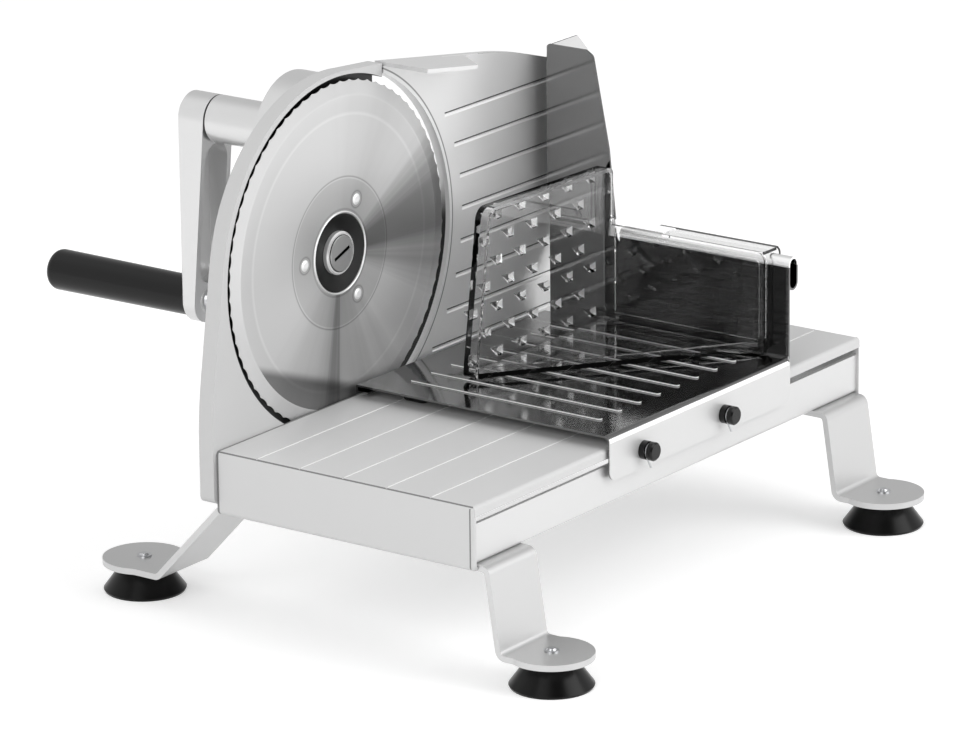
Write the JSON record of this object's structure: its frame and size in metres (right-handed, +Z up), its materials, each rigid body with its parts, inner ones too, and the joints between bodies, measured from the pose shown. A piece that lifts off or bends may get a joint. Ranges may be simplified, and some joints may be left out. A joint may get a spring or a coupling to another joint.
{
  "type": "hand crank meat slicer",
  "caption": "Hand crank meat slicer with toothed round blade, ribbed stop plate, stainless food sled, clear remnant holder and four suction feet.",
  "frame": {"origin": "on the table the feet stand on, in the middle of the bounding box seen from above", "axes": "+X along the sled's travel away from the blade, -Y towards the operator, +Z up"},
  "size_m": [0.3326, 0.3772, 0.252],
  "materials": {
    "grey_paint": "satin",
    "silver_paint": "satin",
    "rail_aluminium": "brushed",
    "plated_steel": "satin",
    "blade_steel": "polished",
    "sled_steel": "polished",
    "rubber": "matte",
    "black_plastic": "satin",
    "bronze": "satin",
    "gear_nylon": "satin",
    "clear_plastic": "glossy"
  },
  "bodies": {
    "frame": {"base_plate": "grey_paint", "guide_rail": "rail_aluminium", "leg_front_left": "plated_steel", "leg_front_right": "plated_steel", "leg_rear_left": "plated_steel", "leg_rear_right": "plated_steel", "suction_cup_front_left": "rubber", "suction_cup_front_right": "rubber", "suction_cup_rear_left": "rubber", "suction_cup_rear_right": "rubber", "foot_bolts": "plated_steel", "leg_rivets": "plated_steel", "blade_housing": "grey_paint", "gear_case": "silver_paint", "case_screws": "plated_steel", "housing_screws": "plated_steel", "crank_tube": "silver_paint", "crank_bush": "bronze", "blade_bush": "bronze", "idler_pin": "plated_steel", "plate_bracket": "plated_steel", "guide_bushes": "bronze", "bracket_spacers": "plated_steel", "bracket_screws": "plated_steel"},
    "crank": {"crank_shaft": "plated_steel", "crank_gear": "gear_nylon", "crank_washer": "rubber", "crank_arm": "silver_paint", "arm_screw": "plated_steel", "grip_axle": "plated_steel"},
    "grip": {"grip": "black_plastic"},
    "idler": {"idler_gear": "gear_nylon"},
    "blade": {"blade": "blade_steel", "blade_carrier": "plated_steel", "blade_rivets": "plated_steel", "blade_spindle": "plated_steel", "blade_pinion": "gear_nylon", "lock_collar": "blade_steel", "lock_screw": "blade_steel"},
    "stop_plate": {"stop_plate": "rail_aluminium", "guide_pins": "plated_steel", "thickness_spindle": "plated_steel"},
    "knob": {"thickness_knob": "black_plastic", "knob_retainer": "plated_steel"},
    "sled": {"sled": "sled_steel", "sled_glides": "black_plastic", "slot_shoes": "black_plastic", "glide_studs": "plated_steel", "glide_knobs": "black_plastic", "knob_clips": "plated_steel"},
    "holder": {"remnant_holder": "clear_plastic"}
  },
  "joints": [
    {"name": "crank_turn", "type": "hinge", "parent": "frame", "child": "crank", "pos_m": [-0.0677, 0.03665, 0.21974], "axis": [0, 1, 0], "continuous": true},
    {"name": "grip_spin", "type": "hinge", "parent": "crank", "child": "grip", "pos_m": [-0.0677, 0.09965, 0.12654], "axis": [0, 1, 0], "continuous": true},
    {"name": "idler_turn", "type": "hinge", "parent": "frame", "child": "idler", "pos_m": [-0.05137, 0.02665, 0.18432], "axis": [0, 1, 0], "continuous": true},
    {"name": "blade_turn", "type": "hinge", "parent": "frame", "child": "blade", "pos_m": [-0.0647, 0.01265, 0.162], "axis": [0, 1, 0], "continuous": true},
    {"name": "knob_turn", "type": "hinge", "parent": "frame", "child": "knob", "pos_m": [0.0753, 0.04365, 0.114], "axis": [0, 1, 0], "range_deg": [0, 280]},
    {"name": "plate_slide", "type": "slide", "parent": "frame", "child": "stop_plate", "axis": [0, 1, 0], "range_m": [0, 0.014]},
    {"name": "sled_slide", "type": "slide", "parent": "frame", "child": "sled", "axis": [1, 0, 0], "range_m": [-0.1, 0.055]},
    {"name": "holder_slide", "type": "slide", "parent": "sled", "child": "holder", "axis": [0, 1, 0], "range_m": [-0.012, 0.014]}
  ],
  "couplings": [
    {"joint": "idler_turn", "follows": "crank_turn", "ratio": -1.7857},
    {"joint": "blade_turn", "follows": "crank_turn", "ratio": 2.0833},
    {"joint": "knob_turn", "follows": "plate_slide", "rad_per_m": 349.07}
  ]
}
